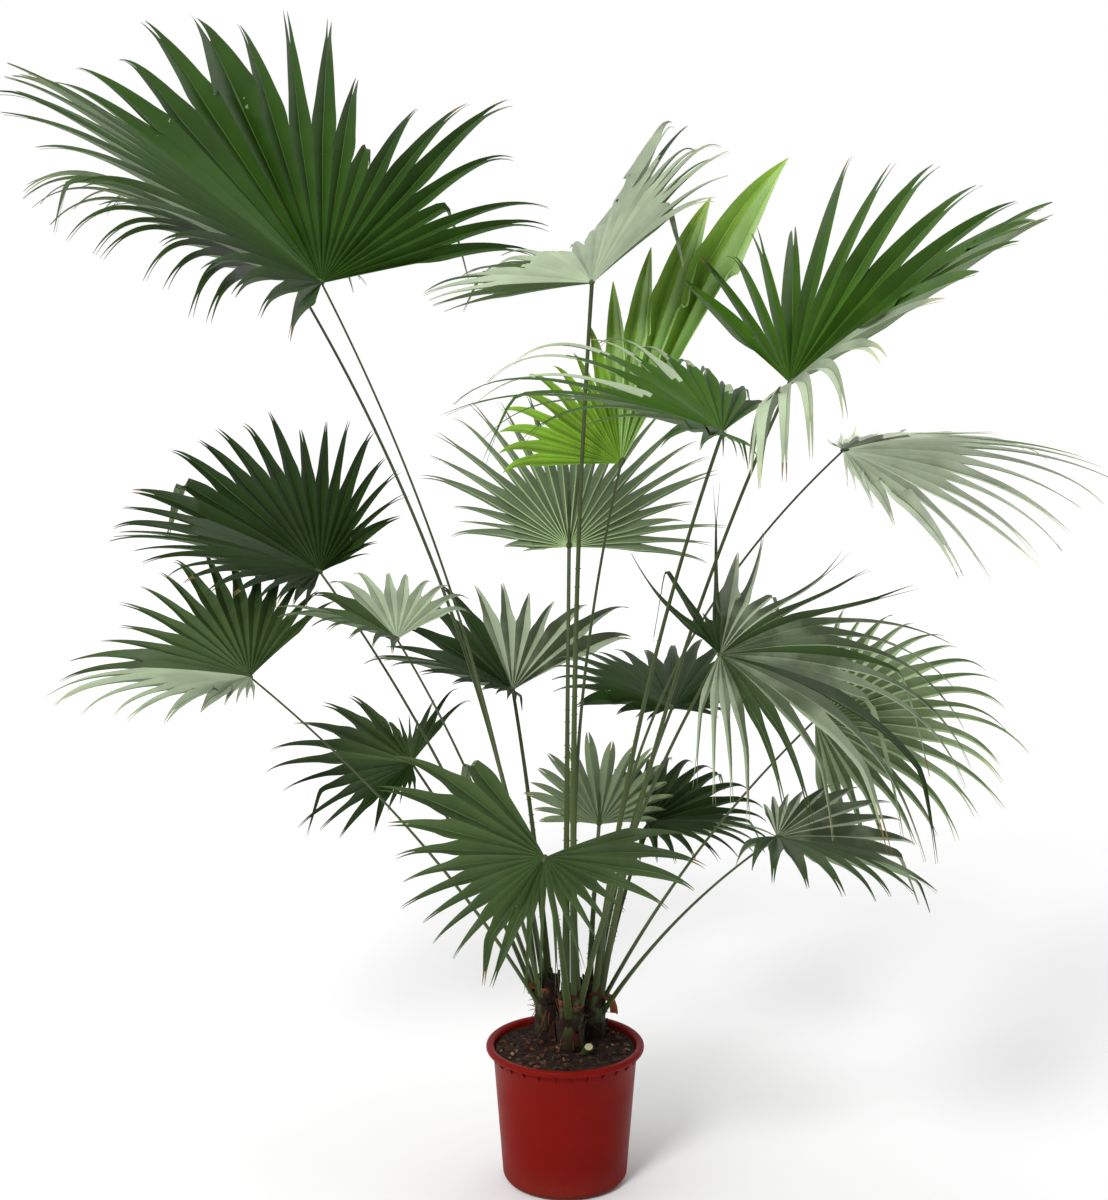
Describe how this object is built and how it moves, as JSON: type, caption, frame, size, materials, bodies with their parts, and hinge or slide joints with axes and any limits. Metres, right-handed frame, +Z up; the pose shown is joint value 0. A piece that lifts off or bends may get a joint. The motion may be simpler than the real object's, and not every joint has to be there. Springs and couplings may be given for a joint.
{
  "type": "chinese fan palm in a nursery pot",
  "caption": "Potted fan palm: a clump of short fibrous stems with long arching petioles and pleated round fan leaves, in a round tapered plastic nursery pot.",
  "frame": {"origin": "centre of the pot's flat underside", "axes": "+Z up, +X to the right and +Y away from the viewer as the plant is seen from its front"},
  "size_m": [1.8595, 1.4459, 1.9412],
  "materials": {
    "pot_plastic": "smooth moulded, slightly glossy, red-brown",
    "soil": "rough dark potting soil with bits of bark and fibre",
    "stem_fibre": "rough, covered with brown fibre and old leaf bases",
    "petiole": "smooth dark olive green, a little glossy, brown and thorny at the foot",
    "blade": "pleated, dark green and glossy above, pale and dull below",
    "young_blade": "pleated, bright yellow-green, glossy",
    "sheath": "dry papery red-brown fibre",
    "cut_wood": "pale cut pith with a brown rind"
  },
  "bodies": {
    "root": {"pot": "pot_plastic", "soil": "soil", "stem_left": "stem_fibre", "stem_right": "stem_fibre", "stem_front": "stem_fibre", "petiole_top_left": "petiole", "petiole_top_left_rear": "petiole", "petiole_top_middle": "petiole", "petiole_young_leaf": "petiole", "petiole_top_right": "petiole", "petiole_far_right": "petiole", "petiole_inner_right": "petiole", "petiole_front_fan": "petiole", "petiole_left_upper": "petiole", "petiole_left_outer": "petiole", "petiole_left_folded": "petiole", "petiole_rear_middle": "petiole", "petiole_left_lower": "petiole", "petiole_front_low": "petiole", "petiole_right_rear": "petiole", "petiole_right_front": "petiole", "petiole_right_outer": "petiole", "petiole_right_low_rear": "petiole", "petiole_right_lowest": "petiole", "petiole_rear_low": "petiole", "cut_stump": "cut_wood", "blade_top_left": "blade", "blade_top_left_rear": "blade", "blade_top_middle": "blade", "blade_young_leaf": "young_blade", "blade_top_right": "blade", "blade_far_right": "blade", "blade_inner_right": "blade", "blade_front_fan": "blade", "blade_left_upper": "blade", "blade_left_outer": "blade", "blade_left_folded": "blade", "blade_rear_middle": "blade", "blade_left_lower": "blade", "blade_front_low": "blade", "blade_right_rear": "blade", "blade_right_front": "blade", "blade_right_outer": "blade", "blade_right_low_rear": "blade", "blade_right_lowest": "blade", "blade_rear_low": "blade", "sheath_left": "sheath", "sheath_left_front": "sheath", "sheath_front": "sheath", "sheath_front_right": "sheath", "sheath_right": "sheath", "sheath_rear": "sheath"}
  },
  "joints": []
}
